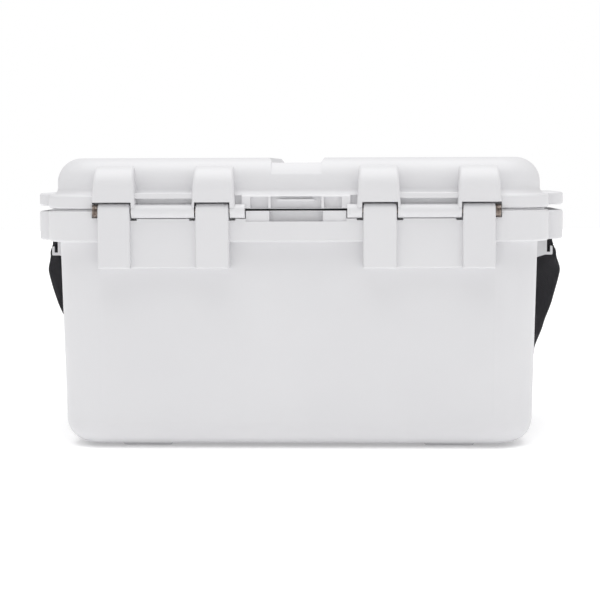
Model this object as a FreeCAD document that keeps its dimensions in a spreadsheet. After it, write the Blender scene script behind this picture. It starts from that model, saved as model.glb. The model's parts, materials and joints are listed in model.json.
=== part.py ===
import FreeCAD, Part
import math
import os
import re
import Sketcher

# A small hard cooler: a foamed tub, a domed lid on two pin hinges, two snap latches and a shoulder strap.
# The hinges are on the -Y side, the latches on the +Y side, and X runs along the length.
# The origin is on the ground, under the middle of the box.

Vector = FreeCAD.Vector
doc = FreeCAD.newDocument("cooler")
sheet = doc.addObject("Spreadsheet::Sheet", "Dimensions")

DIMENSIONS = {
    # tub, measured at its underside; the walls lean outward by the draft angle
    "foot_height": 2.8, "tub_half_length": 242, "tub_half_depth": 153, "tub_corner": 42,
    "tub_draft": 1.44, "tub_edge": 25, "skin": 3, "foam_gap": 0.2,
    # band round the top of the tub
    "band_low": 212.6, "band_high": 244.2, "band_half_length": 258, "band_half_depth": 169,
    "band_corner": 52, "band_edge": 2.5, "band_core_depth": 156.5,
    "bead_inset": 4.5, "bead_width": 3, "bead_top": 245.8,
    # liner of the tub
    "mouth_half_length": 220, "mouth_half_depth": 131, "mouth_corner": 32, "liner_floor": 40,
    "liner_draft": 1.5, "rim_half_length": 249, "rim_half_depth": 152, "rim_corner": 43,
    # lid
    "lid_low": 246.2, "flange_high": 260.3, "lid_half_length": 258, "lid_half_depth": 167,
    "lid_corner": 51, "lid_edge": 3, "dome_half_length": 249, "dome_half_depth": 158,
    "dome_corner": 45, "lid_top": 297.6, "dome_edge": 25, "dome_foot": 6.5,
    "lid_core_depth": 154, "channel_half": 28, "channel_floor_half": 24.5, "channel_floor": 292.5,
    "shoulder_half": 25.6, "shoulder_low": 275, "shoulder_y": 130.2, "shoulder_z": 266.6,
    "shoulder_radius": 30,
    "plug_gap": 2.5, "plug_low": 226, "gasket_low": 244.5, "gasket_width": 6,
    "beyond": 185,
    # hinges: each has two towers on the tub and two knuckles on the lid
    "hinge_y": -167.5, "hinge_z": 244, "pin_radius": 3, "pin_fit": 0.05, "head_radius": 6.6,
    "head_length": 5.2, "head_floor": 237.2, "tower_radius": 7.5, "knuckle_radius": 7, "bush_radius": 4.6,
    "tower_inner_low": 67.5, "tower_inner_high": 101, "tower_outer_low": 167,
    "tower_outer_high": 199.6, "tower_edge": 2, "bar_low": 102.2, "bar_high": 165.8, "knuckle_low": 51.5,
    "knuckle_high": 66.4, "block_low": 186.4, "slot_floor": 236.4, "slot_wall": -159.5,
    "notch_end": 205.9, "bush_length": 13, "relief_width": 6.5, "relief_floor": 234.6,
    "tower_back": -156, "bar_slot_low": 250.5, "bar_slot_high": 256.6, "bar_slot_wall": -162.8,
    "ledge_face": -170.5, "ledge_high": 262.4, "window_near": 54.6, "window_far": 63.7, "window_high": 259.9,
    # pockets in the back of the flange, and the slot in the band below them
    "middle_half": 25.5, "middle_low": 246.9, "middle_high": 258.6, "middle_wall": -162,
    "side_near": 28, "side_far": 46, "side_low": 247.2, "side_high": 258, "side_wall": -162.5,
    "cheek_near": 27, "cheek_far": 50.6, "cheek_face": -167, "cheek_high": 244.2,
    "fin_half": 18.5, "fin_low": 253.8, "fin_high": 255.8, "fin_face": -166,
    # bumps of the lid over the towers
    "bump_face": -175, "bump_low": 253, "bump_high": 289.6, "bump_round": 24, "bump_back": -140,
    "bump_foot": 247.5, "bump_lean": 2.5, "bump_edge": 3,
    "bump_inner_low": 61, "bump_inner_high": 105, "bump_outer_low": 161.5, "bump_outer_high": 205.5,
    # side grips
    "grip_reach": 280.5, "grip_half_depth": 65, "grip_low": 211, "grip_high": 242,
    "tab_low": 247.7, "tab_high": 260.9, "grip_corner": 16, "grip_inner": 259,
    "strap_pin_x": 270, "strap_pin_z": 229,
    "web_low": 21.5, "web_high": 25, "web_bottom": 219,
    # strap brackets
    "bracket_base": 247.4, "bracket_face": 267.3, "bracket_low": 187, "bracket_high": 210.7,
    "bracket_half_depth": 22.5, "bracket_rise": 6, "bracket_edge": 2, "ear_thickness": 2.6,
    "ear_reach": 273.2, "ear_low": 192.4, "ear_high": 195.4, "tip_high": 202, "screw_z": 201, "screw_y": 14,
    "screw_radius": 2, "screw_head": 3.6, "screw_sink": 262,
    # latches
    "latch_middle": 150, "latch_half": 31, "latch_y": 170, "latch_z": 256, "latch_barrel": 5,
    "latch_pin": 1.6, "latch_low": 197, "latch_back": 168.3, "latch_face": 175,
    "recess_y": 163.5, "recess_half": 34, "rib_low": 221, "rib_high": 227, "rib_face": 167.5,
    "ear_width": 6.5, "latch_pin_half": 37.6, "dish_half": 23, "dish_low": 206, "dish_high": 243,
    # feet
    "foot_low_x": 130, "foot_high_x": 183, "foot_far_y": 126, "foot_near_y": 86,
    # strap
    "strap_radius": 4, "pad_bow": 790, "pad_middle_y": 213, "pad_half_length": 140,
    "pad_thickness": 12, "pad_face": 0.5, "pad_width": 59, "pad_low": 1.5, "slider_length": 26,
    "slider_width": 46, "slider_thickness": 11,
}
for row, (alias, number) in enumerate(DIMENSIONS.items(), start=1):
    sheet.set(f"A{row}", alias)
    sheet.set(f"B{row}", str(number))
    sheet.setAlias(f"B{row}", alias)
doc.recompute()


def on_sheet(expression):
    """The expression with each dimension's name pointing at the sheet."""
    return re.sub(r"[a-z]\w*", r"Dimensions.\g<0>", str(expression))


def size(expression):
    """The value of an expression of dimensions, in millimetres."""
    return float(sheet.evalExpression(on_sheet(expression)))


def bind(thing, prop, expression):
    thing.setExpression(prop, on_sheet(expression))


# ---- solids from sketches -------------------------------------------------------------------


def plan_sketch(body, name, plan, height):
    """A rectangle with round corners about the origin; plan is (half length, half depth, corner)."""
    half_x, half_y, corner = plan
    x, y, r = size(half_x), size(half_y), size(corner)
    sketch = body.newObject("Sketcher::SketchObject", name)
    plane = next(o for o in body.Origin.OriginFeatures if o.Role == "XY_Plane")
    sketch.AttachmentSupport = [(plane, "")]
    sketch.MapMode = "FlatFace"
    bind(sketch, "AttachmentOffset.Base.z", height)
    signs = [(1, 1), (-1, 1), (-1, -1), (1, -1)]
    ends = []
    for number, (across, along) in enumerate(signs):
        centre = Vector(across * (x - r), along * (y - r), 0)
        start = number * math.pi / 2
        arc = Part.ArcOfCircle(Part.Circle(centre, Vector(0, 0, 1), r), start, start + math.pi / 2)
        ends.append((arc.StartPoint, arc.EndPoint))
        sketch.addGeometry(arc)
    for number in range(4):
        sketch.addGeometry(Part.LineSegment(ends[number][1], ends[(number + 1) % 4][0]))
    for number in range(4):
        sketch.addConstraint(Sketcher.Constraint("Tangent", number, 2, 4 + number, 1))
        sketch.addConstraint(Sketcher.Constraint("Tangent", 4 + number, 2, (number + 1) % 4, 1))
    for number, (across, along) in enumerate(signs):
        places = [
            ("DistanceX", across * (x - r), f"{across} * (({half_x}) - ({corner}))", "x"),
            ("DistanceY", along * (y - r), f"{along} * (({half_y}) - ({corner}))", "y"),
        ]
        for kind, value, expression, letter in places:
            index = sketch.addConstraint(Sketcher.Constraint(kind, -1, 1, number, 3, value))
            sketch.renameConstraint(index, f"corner_{number}_{letter}")
            bind(sketch, f"Constraints.corner_{number}_{letter}", expression)
        index = sketch.addConstraint(Sketcher.Constraint("Radius", number, r))
        sketch.renameConstraint(index, f"corner_{number}_radius")
        bind(sketch, f"Constraints.corner_{number}_radius", corner)
    return sketch


def slab(body, name, plan, low, high, draft="0"):
    """Adds a rounded slab between two heights; with a draft it grows wider upward."""
    pad = body.newObject("PartDesign::Pad", name)
    pad.Profile = plan_sketch(body, name + "_plan", plan, low)
    bind(pad, "Length", f"({high}) - ({low})")
    bind(pad, "TaperAngle", draft)
    body.Tip = pad
    doc.recompute()
    return pad


def hollow(body, name, plan, high, low, draft="0"):
    """Cuts a rounded hollow downward from a height; with a draft it gets narrower downward."""
    before = body.Shape.Volume
    pocket = body.newObject("PartDesign::Pocket", name)
    pocket.Profile = plan_sketch(body, name + "_plan", plan, high)
    bind(pocket, "Length", f"({high}) - ({low})")
    bind(pocket, "TaperAngle", f"0 - ({draft})")
    body.Tip = pocket
    doc.recompute()
    if body.Shape.Volume >= before:
        raise RuntimeError(f"{name} cuts nothing")
    return pocket


def round_body(body, name, radius, chosen):
    """Rounds the edges of a body that the test chooses from their boxes."""
    tip = body.Tip
    names = [f"Edge{i}" for i, edge in enumerate(tip.Shape.Edges, start=1) if chosen(edge.BoundBox)]
    fillet = body.newObject("PartDesign::Fillet", name)
    fillet.Base = (tip, names)
    bind(fillet, "Radius", radius)
    body.Tip = fillet
    doc.recompute()
    return fillet


def level(height):
    """Chooses the edges that lie flat at a height."""
    at = size(height)
    return lambda box: abs(box.ZMin - at) < 0.01 and abs(box.ZMax - at) < 0.01


# ---- solids from primitives -----------------------------------------------------------------


def block(name, x, y, z):
    """A box between pairs of places along X, Y and Z."""
    box = doc.addObject("Part::Box", name)
    for length, axis, (low, high) in zip(("Length", "Width", "Height"), "xyz", (x, y, z)):
        bind(box, length, f"({high}) - ({low})")
        bind(box, f"Placement.Base.{axis}", low)
    return box


def rod(name, along, span, place, radius):
    """A cylinder along "x" or "y" over a span, at a place given by its other two coordinates."""
    cylinder = doc.addObject("Part::Cylinder", name)
    turned = {"x": (Vector(0, 1, 0), 90), "y": (Vector(1, 0, 0), -90)}[along]
    cylinder.Placement = FreeCAD.Placement(Vector(0, 0, 0), FreeCAD.Rotation(*turned))
    bind(cylinder, "Radius", radius)
    bind(cylinder, "Height", f"({span[1]}) - ({span[0]})")
    bind(cylinder, f"Placement.Base.{along}", span[0])
    for axis, value in zip([a for a in "xyz" if a != along], place):
        bind(cylinder, f"Placement.Base.{axis}", value)
    return cylinder


def joined(name, pieces):
    fuse = doc.addObject("Part::MultiFuse", name)
    fuse.Shapes = pieces
    fuse.Refine = True
    return fuse


def without(name, base, tools):
    """The base with the tools cut out of it."""
    cut = doc.addObject("Part::Cut", name)
    cut.Base = base
    cut.Tool = tools[0] if len(tools) == 1 else joined(name + "_tools", tools)
    cut.Refine = True
    return cut


def mirrored(name, thing):
    """The same piece on the other side of the middle."""
    copy = doc.addObject("Part::Mirroring", name)
    copy.Source = thing
    copy.Normal = Vector(1, 0, 0)
    return copy


def both_sides(things):
    return things + [mirrored(thing.Name + "_left", thing) for thing in things]


def rounded(name, thing, radius, chosen=lambda box: True):
    """A piece with rounded edges, which the test chooses from their boxes."""
    doc.recompute()
    fillet = doc.addObject("Part::Fillet", name)
    fillet.Base = thing
    amount = size(radius)
    fillet.Edges = [
        (i, amount, amount) for i, edge in enumerate(thing.Shape.Edges, start=1) if chosen(edge.BoundBox)
    ]
    return fillet


def upright_at(x):
    """Chooses the upright edges at a place along X."""
    at = size(x)
    return lambda box: box.ZLength > 1 and abs(box.XMin - at) < 0.01 and box.XLength < 0.01


# ---- tub ------------------------------------------------------------------------------------


def tub_outside():
    """The drafted tub with the straight band round its top, without its hinge and latch recesses."""
    body = doc.addObject("PartDesign::Body", "tub_outside")
    slab(body, "tub_wall", ("tub_half_length", "tub_half_depth", "tub_corner"),
         "foot_height", "band_low + 5", "tub_draft")
    round_body(body, "tub_bottom_edge", "tub_edge", level("foot_height"))
    slab(body, "band", ("band_half_length", "band_half_depth", "band_corner"), "band_low", "band_high")

    def on_band_edge(box):
        """The band's top edges, and its lower outer edges but not those where it meets the wall."""
        far_x = max(abs(box.XMin), abs(box.XMax)) > size("tub_half_length + 12")
        far_y = abs(box.YMax) > size("band_half_depth - 0.1")
        return level("band_high")(box) or (level("band_low")(box) and (far_x or far_y))

    round_body(body, "band_edges", "band_edge", on_band_edge)
    return body


def tub_core():
    """The space inside the shell: the foam and the liner stand in it."""
    body = doc.addObject("PartDesign::Body", "tub_core")
    slab(body, "core_wall", ("tub_half_length - skin", "tub_half_depth - skin", "tub_corner - skin"),
         "foot_height + skin", "band_low + skin", "tub_draft")
    round_body(body, "core_edge", "tub_edge - skin", level("foot_height + skin"))
    slab(body, "core_band", ("band_half_length - skin", "band_core_depth", "band_corner - 10"),
         "band_low + skin", "band_high - skin")
    slab(body, "core_mouth", ("rim_half_length + foam_gap", "rim_half_depth", "rim_corner"),
         "band_high - skin", "band_high + 1")
    return body


def rim_bead():
    """A low bead along the top of the band, just inside its edge, which nearly closes the lid's gap."""
    body = doc.addObject("PartDesign::Body", "rim_bead")
    slab(body, "bead", ("band_half_length - bead_inset", "band_half_depth - bead_inset",
                        "band_corner - bead_inset"), "band_high - 1", "bead_top")
    inner = "(bead_inset + bead_width)"
    hollow(body, "bead_space", (f"band_half_length - {inner}", f"band_half_depth - {inner}",
                                f"band_corner - {inner}"), "bead_top", "band_high - 2")
    return body


def tower(name, low, high):
    """A hinge tower: an upright block with a round top about the pin."""
    foot = block(name + "_foot", (low, high), ("hinge_y - tower_radius", "tower_back"),
                 ("block_low", "hinge_z"))
    foot = rounded(name + "_foot_round", foot, "tower_edge",
                   lambda box: box.YMax < size("hinge_y - tower_radius + 0.1")
                   and (box.ZLength > 1 or box.ZMax < size("block_low + 0.1")))
    neck = block(name + "_neck", (low, high), ("hinge_y", "hinge_y + tower_radius"),
                 ("slot_floor - 5", "hinge_z"))
    top = rod(name + "_barrel", "x", (low, high), ("hinge_y", "hinge_z"), "tower_radius")
    top = rounded(name + "_top", top, "tower_edge", lambda box: box.XLength < 0.01)
    trim = block(name + "_trim", (f"{low} - 1", f"{high} + 1"),
                 ("hinge_y + tower_radius", "tower_back + 6"), ("slot_floor", "hinge_z + 1"))
    deep = without(name + "_deep", foot, [trim])
    return joined(name, [deep, neck, top])


def grip(name, low, high):
    """A side grip with round corners; its hollow underneath is cut later."""
    body = block(name + "_block", ("band_half_length - skin", "grip_reach"),
                 ("0 - grip_half_depth", "grip_half_depth"), (low, high))
    corners = rounded(name + "_corners", body, "grip_corner", upright_at("grip_reach"))
    return rounded(name, corners, 2.5,
                   lambda box: box.ZLength < 0.01 and box.XMax > size("band_half_length + 5"))


def grip_hollow(name, low, high):
    """The finger space of a grip, open underneath."""
    space = block(name + "_block", ("grip_inner", "grip_reach - skin"),
                  ("skin - grip_half_depth", "grip_half_depth - skin"), (low, high))
    return rounded(name, space, "grip_corner - skin", upright_at("grip_reach - skin"))


def tub_shell():
    """The outer skin of the tub with its towers, grips and latch ribs."""
    slot = block("hinge_slot", ("0 - tower_outer_high", "tower_outer_high"), ("0 - beyond", "slot_wall"),
                 ("slot_floor", "band_high + 5"))
    middle = block("middle_slot", ("0 - cheek_far", "cheek_far"), ("0 - beyond", "slot_wall"),
                   ("slot_floor - 3", "band_high + 5"))
    head_pocket = block("pin_head_pocket", ("tower_outer_high - 0.1", "notch_end"),
                        ("0 - beyond", "slot_wall"), ("head_floor", "band_high + 5"))
    beside_towers = [
        ("tower_inner_low - relief_width", "tower_inner_low"),
        ("tower_inner_high", "tower_inner_high + relief_width"),
        ("tower_outer_low - relief_width", "tower_outer_low"),
    ]
    reliefs = [
        block(f"slot_relief_{number}", span, ("0 - beyond", "slot_wall"), ("relief_floor", "band_high"))
        for number, span in enumerate(beside_towers)
    ]
    beaded = joined("tub_beaded", [tub_outside(), rim_bead()])
    body = without("tub_slotted", beaded, [slot, middle, *both_sides([*reliefs, head_pocket])])
    cheek = block("slot_cheek", ("cheek_near", "cheek_far"), ("cheek_face", "slot_wall + 1"),
                  ("slot_floor - 3.1", "cheek_high"))
    hinge_block = block("hinge_block", ("tower_inner_low", "tower_outer_high"),
                        ("0 - band_half_depth", "tower_back"), ("block_low", "band_low + 3"))
    hinge_block = rounded("hinge_block_round", hinge_block, "tower_edge",
                          lambda box: box.XLength > 10 and box.ZMax < size("block_low + 0.1")
                          and box.YMax < size("0.1 - band_half_depth"))
    towers = [
        tower("tower_inner", "tower_inner_low", "tower_inner_high"),
        tower("tower_outer", "tower_outer_low", "tower_outer_high"),
    ]
    side = both_sides([cheek, hinge_block, *towers, grip("grip", "grip_low", "grip_high")])
    solid = joined("tub_solid", [body, *side])
    bore = rod("tower_bore", "x", ("knuckle_high", "notch_end"), ("hinge_y", "hinge_z"),
               "pin_radius + pin_fit")
    pin_bore = rod("strap_pin_bore", "y", ("0 - web_high - 0.1", "web_high + 0.1"),
                   ("strap_pin_x", "strap_pin_z"), "pin_radius + pin_fit")
    webs = [
        block("pin_web_far", ("band_half_length - 1", "grip_reach"), ("web_low", "web_high"),
              ("web_bottom", "grip_high")),
        block("pin_web_near", ("band_half_length - 1", "grip_reach"), ("0 - web_high", "0 - web_low"),
              ("web_bottom", "grip_high")),
    ]
    fingers = without("finger_space", grip_hollow("grip_space", "grip_low - 6", "grip_high - skin"), webs)
    latch_span = ("latch_middle - recess_half", "latch_middle + recess_half")
    above = block("recess_above_rib", latch_span, ("recess_y", "beyond"), ("rib_high", "band_high + 5"))
    below = block("recess_below_rib", latch_span, ("recess_y", "beyond"), ("band_low - 5", "rib_low"))
    before = block("recess_before_rib", latch_span, ("rib_face", "beyond"), ("rib_low - 1", "rib_high + 1"))
    holes = [screw_hole(number) for number in (-1, 1)]
    tools = both_sides([bore, pin_bore, fingers, above, below, before, *holes])
    return without("tub_shell", solid, [tub_core(), *tools])


def screw_hole(side):
    """A hole for a bracket screw through the skin."""
    return rod(f"screw_hole_{'near' if side < 0 else 'far'}", "x", ("bracket_base - 8", "bracket_face + 1"),
               (f"{side} * screw_y", "screw_z"), "screw_radius + pin_fit")


def lean(high, low):
    """How much narrower a wall with the liner's draft is at the lower height, as an expression."""
    change = math.tan(math.radians(size("liner_draft"))) * size(f"({high}) - ({low})")
    return f"{change:.3f}"


def tub_liner():
    """The white basin inside, with a rim that lies flush in the shell's top."""
    body = doc.addObject("PartDesign::Body", "liner_outside")
    narrow = lean("band_high", "liner_floor - skin")
    slab(body, "basin", (f"mouth_half_length + skin - {narrow}", f"mouth_half_depth + skin - {narrow}",
                         "mouth_corner - 3"), "liner_floor - skin", "band_high - 1", "liner_draft")
    round_body(body, "basin_edge", 20, level("liner_floor - skin"))
    slab(body, "rim", ("rim_half_length", "rim_half_depth - foam_gap", "rim_corner"),
         "band_high - skin", "band_high")
    space = doc.addObject("PartDesign::Body", "liner_inside")
    narrow = lean("band_high", "liner_floor")
    slab(space, "basin_space", (f"mouth_half_length - {narrow}", f"mouth_half_depth - {narrow}",
                                "mouth_corner - 6"), "liner_floor", "band_high + 1", "liner_draft")
    round_body(space, "basin_floor_edge", 17, level("liner_floor"))
    return without("tub_liner", body, [space])


def tub_foam():
    """The foam between the shell and the liner."""
    body = doc.addObject("PartDesign::Body", "tub_foam")
    inset = "(skin + foam_gap)"
    plan = (f"tub_half_length - {inset}", f"tub_half_depth - {inset}", "tub_corner - skin")
    slab(body, "foam_wall", plan, f"foot_height + {inset}", "band_low + skin + 1", "tub_draft")
    round_body(body, "foam_edge", "tub_edge - skin", level(f"foot_height + {inset}"))
    plan = (f"band_half_length - {inset}", "band_core_depth - foam_gap", "band_corner - 10")
    slab(body, "foam_band", plan, f"band_low + {inset}", f"band_high - {inset}")
    plan = (f"mouth_half_length + {inset} + foam_gap", f"mouth_half_depth + {inset} + foam_gap",
            "mouth_corner + 1")
    hollow(body, "foam_space", plan, "band_high", f"liner_floor - {inset}", "liner_draft")
    return body


def feet():
    """Four low pads under the tub, with slanted ends."""
    pad = block("foot_block", ("foot_low_x", "foot_high_x"), ("0 - foot_far_y", "0 - foot_near_y"),
                (0, "foot_height"))
    doc.recompute()
    slanted = doc.addObject("Part::Chamfer", "foot_rear_right")
    slanted.Base = pad
    low_ends = [
        i for i, edge in enumerate(pad.Shape.Edges, start=1)
        if edge.BoundBox.ZMax < 0.01 and edge.BoundBox.XLength < 0.01
    ]
    slanted.Edges = [(i, size("foot_height - 0.5"), size("foot_height - 0.5")) for i in low_ends]
    front = doc.addObject("Part::Mirroring", "foot_front_right")
    front.Source = slanted
    front.Normal = Vector(0, 1, 0)
    return [slanted, front, mirrored("foot_rear_left", slanted), mirrored("foot_front_left", front)]


# ---- hinge pins, bushes, brackets and screws ------------------------------------------------


def hinge_pin():
    """A steel pin with a flat round head, pushed in from the outer end of the hinge."""
    shank = rod("pin_shank", "x", ("knuckle_low + 5", "tower_outer_high + 1"), ("hinge_y", "hinge_z"),
                "pin_radius")
    head = rod("pin_head", "x", ("tower_outer_high + 0.2", "tower_outer_high + 0.2 + head_length"),
               ("hinge_y", "hinge_z"), "head_radius")
    head = rounded("pin_head_round", head, 0.8,
                   lambda box: box.XMin > size("tower_outer_high + head_length - 0.1")
                   and box.XLength < 0.01)
    return joined("hinge_pin_right", [shank, head])


def hinge_bushes():
    """Three plastic sleeves in the lid's knuckles, which turn on the pin."""
    spans = [
        ("knuckle_high - 10", "knuckle_high"),
        ("bar_low", "bar_low + bush_length"),
        ("bar_high - bush_length", "bar_high"),
    ]
    sleeves = []
    for number, span in enumerate(spans):
        outside = rod(f"bush_{number}_outside", "x", span, ("hinge_y", "hinge_z"), "bush_radius")
        bore = rod(f"bush_{number}_bore", "x", (f"{span[0]} - 1", f"{span[1]} + 1"), ("hinge_y", "hinge_z"),
                   "pin_radius + pin_fit")
        sleeves.append(without(f"bush_{number}", outside, [bore]))
    group = doc.addObject("Part::Compound", "hinge_bushes_right")
    group.Links = sleeves
    return group


def strap_pin():
    """A steel pin between two webs inside the grip, which the end of the strap goes round."""
    return rod("strap_pin_right", "y", ("0 - web_high", "web_high"),
               ("strap_pin_x", "strap_pin_z"), "pin_radius")


def strap_bracket():
    """A bracket screwed to the side wall under the band; its two hooks keep the webbing in place."""
    outline = [
        ("bracket_base", "bracket_low"), ("bracket_face", "bracket_low + bracket_rise"),
        ("bracket_face", "bracket_high"), ("bracket_base", "bracket_high"),
    ]
    corners = [Vector(size(x), -size("bracket_half_depth"), size(z)) for x, z in outline]
    face = Part.Face(Part.makePolygon(corners + corners[:1]))
    body = doc.addObject("Part::Feature", "bracket_body")
    body.Shape = face.extrude(Vector(0, 2 * size("bracket_half_depth"), 0))
    body = rounded("bracket_rounded", body, "bracket_edge",
                   lambda box: box.XMin > size("bracket_face - 0.1"))
    ears = []
    for side in (-1, 1):
        ends = [f"{side} * bracket_half_depth", f"{side} * (bracket_half_depth - ear_thickness)"]
        span = sorted(ends, key=size)
        ears.append(block(f"bracket_ear_{side + 1}", ("bracket_face - 4", "ear_reach - 1"), span,
                          ("ear_low", "ear_high")))
        tip = block(f"bracket_tip_{side + 1}", ("ear_reach - ear_thickness", "ear_reach"), span,
                    ("ear_low", "tip_high"))
        ears.append(rounded(f"bracket_tip_round_{side + 1}", tip, 1.2,
                            lambda box: box.XMin > size("ear_reach - 0.1") and box.YLength > 1))
    holes = []
    for side in (-1, 1):
        place = (f"{side} * screw_y", "screw_z")
        holes.append(rod(f"bracket_hole_{side + 1}", "x", ("bracket_base - 1", "screw_sink + 1"), place,
                         "screw_radius + pin_fit"))
        holes.append(rod(f"bracket_sink_{side + 1}", "x", ("screw_sink", "bracket_face + 1"), place,
                         "screw_head + 0.2"))
    return without("strap_bracket_right", joined("bracket_solid", [body, *ears]), holes)


def bracket_screws():
    """Two screws through the bracket into the shell, with their heads sunk in the bracket."""
    screws = []
    for side in (-1, 1):
        place = (f"{side} * screw_y", "screw_z")
        shank = rod(f"screw_shank_{side + 1}", "x", ("bracket_base - 2.8", "screw_sink + 1"), place,
                    "screw_radius")
        head = rod(f"screw_head_{side + 1}", "x", ("screw_sink", "screw_sink + 2.2"), place, "screw_head")
        drive = block(f"screw_drive_{side + 1}", ("screw_sink + 1", "screw_sink + 3"),
                      (f"{place[0]} - 2.4", f"{place[0]} + 2.4"), ("screw_z - 0.5", "screw_z + 0.5"))
        whole = joined(f"screw_whole_{side + 1}", [shank, head])
        screws.append(without(f"screw_{side + 1}", whole, [drive]))
    group = doc.addObject("Part::Compound", "bracket_screws_right")
    group.Links = screws
    return group


# ---- lid ------------------------------------------------------------------------------------


def lid_outside():
    """The flange and the dome of the lid."""
    body = doc.addObject("PartDesign::Body", "lid_outside")
    slab(body, "flange", ("lid_half_length", "lid_half_depth", "lid_corner"), "lid_low", "flange_high")
    round_body(body, "flange_edges", "lid_edge", lambda box: box.ZLength < 0.01)
    slab(body, "dome", ("dome_half_length", "dome_half_depth", "dome_corner"), "flange_high - 4", "lid_top")
    round_body(body, "dome_top_edge", "dome_edge", level("lid_top"))
    round_body(body, "dome_foot_edge", "dome_foot",
               lambda box: level("flange_high")(box) and abs(box.XMax) < size("dome_half_length + 0.5")
               and abs(box.XMin) < size("dome_half_length + 0.5")
               and abs(box.YMax) < size("dome_half_depth + 0.5")
               and abs(box.YMin) < size("dome_half_depth + 0.5"))
    return body


def lid_core():
    """The space inside the lid, below its top skin."""
    body = doc.addObject("PartDesign::Body", "lid_core")
    slab(body, "lid_space", ("dome_half_length - skin", "lid_core_depth", "dome_corner - skin"),
         "lid_low - 1", "lid_top - skin")
    round_body(body, "lid_space_edge", "dome_edge - skin", level("lid_top - skin"))
    channel_room = block("channel_backing", ("0 - channel_half - 4", "channel_half + 4"),
                         ("0 - lid_half_depth", "lid_half_depth"), ("channel_floor - skin", "lid_top"))
    return without("lid_core_cut", body, [channel_room])


def bump(name, low, high):
    """A bump of the lid over a hinge tower: its back curves into the top and its sides lean in."""
    whole = doc.addObject("Part::Wedge", name + "_block")
    whole.Placement = FreeCAD.Placement(Vector(0, 0, 0), FreeCAD.Rotation(Vector(1, 0, 0), 90))
    ends = {
        "Xmin": low, "Xmax": high, "X2min": f"{low} + bump_lean", "X2max": f"{high} - bump_lean",
        "Ymin": "bump_foot", "Ymax": "bump_high", "Zmin": "0 - bump_back", "Zmax": "0 - bump_face",
        "Z2min": "0 - bump_back", "Z2max": "0 - bump_face",
    }
    for prop, expression in ends.items():
        bind(whole, prop, expression)
    curved = rounded(name + "_curved", whole, "bump_round",
                     lambda box: box.XLength > 10 and box.YMax < size("bump_face + 0.1")
                     and box.ZMin > size("bump_high - 0.1"))
    return rounded(name, curved, "bump_edge",
                   lambda box: box.XLength < 10 and box.ZMax > size("bump_foot + 1")
                   and box.YMin < size("bump_face + bump_round + 0.1") and box.YMax < size("bump_back - 1"))


def knuckle(name, low, high):
    """A barrel of the lid about the pin, with a web to the flange."""
    barrel = rod(name + "_barrel", "x", (low, high), ("hinge_y", "hinge_z"), "knuckle_radius")
    web = block(name + "_web", (low, high), ("hinge_y", -155), ("lid_low + 0.2", "bar_slot_low"))
    return joined(name, [barrel, web])


def latch_ears(name):
    """The two ears of the lid that hold a latch pin."""
    ears = []
    for number, side in enumerate((-1, 1)):
        inner = f"latch_middle + {side} * (latch_half + 0.5)"
        outer = f"latch_middle + {side} * (latch_half + 0.5 + ear_width)"
        span = (inner, outer) if side > 0 else (outer, inner)
        arm = block(f"{name}_arm_{number}", span, ("dome_half_depth - 1", "latch_y"),
                    ("latch_z - latch_barrel", "latch_z + latch_barrel"))
        eye = rod(f"{name}_eye_{number}", "x", span, ("latch_y", "latch_z"), "latch_barrel")
        ears.append(joined(f"{name}_{number}", [arm, eye]))
    return ears


def top_channel():
    """The shallow channel from front to back across the top, with sloping sides."""
    points = [
        (-size("channel_half"), size("lid_top") + 0.01),
        (-size("channel_floor_half"), size("channel_floor")),
        (size("channel_floor_half"), size("channel_floor")),
        (size("channel_half"), size("lid_top") + 0.01),
        (size("channel_half") + 4, size("lid_top") + 6),
        (-size("channel_half") - 4, size("lid_top") + 6),
    ]
    corners = [Vector(x, -200, z) for x, z in points]
    outline = Part.makePolygon(corners + corners[:1])
    channel = doc.addObject("Part::Feature", "top_channel")
    channel.Shape = Part.Face(outline).extrude(Vector(0, 400, 0))
    return channel


def channel_end():
    """The end of the channel, which runs out down the rear shoulder of the dome in a wide curve."""
    span = ("0 - shoulder_half", "shoulder_half")
    room = block("channel_end_room", span, ("0 - beyond", "0 - shoulder_y"), ("shoulder_low", "lid_top + 5"))
    floor = rod("channel_end_floor", "x", ("0 - shoulder_half - 1", "shoulder_half + 1"),
                ("0 - shoulder_y", "shoulder_z"), "shoulder_radius")
    return without("channel_end", room, [floor])


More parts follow.
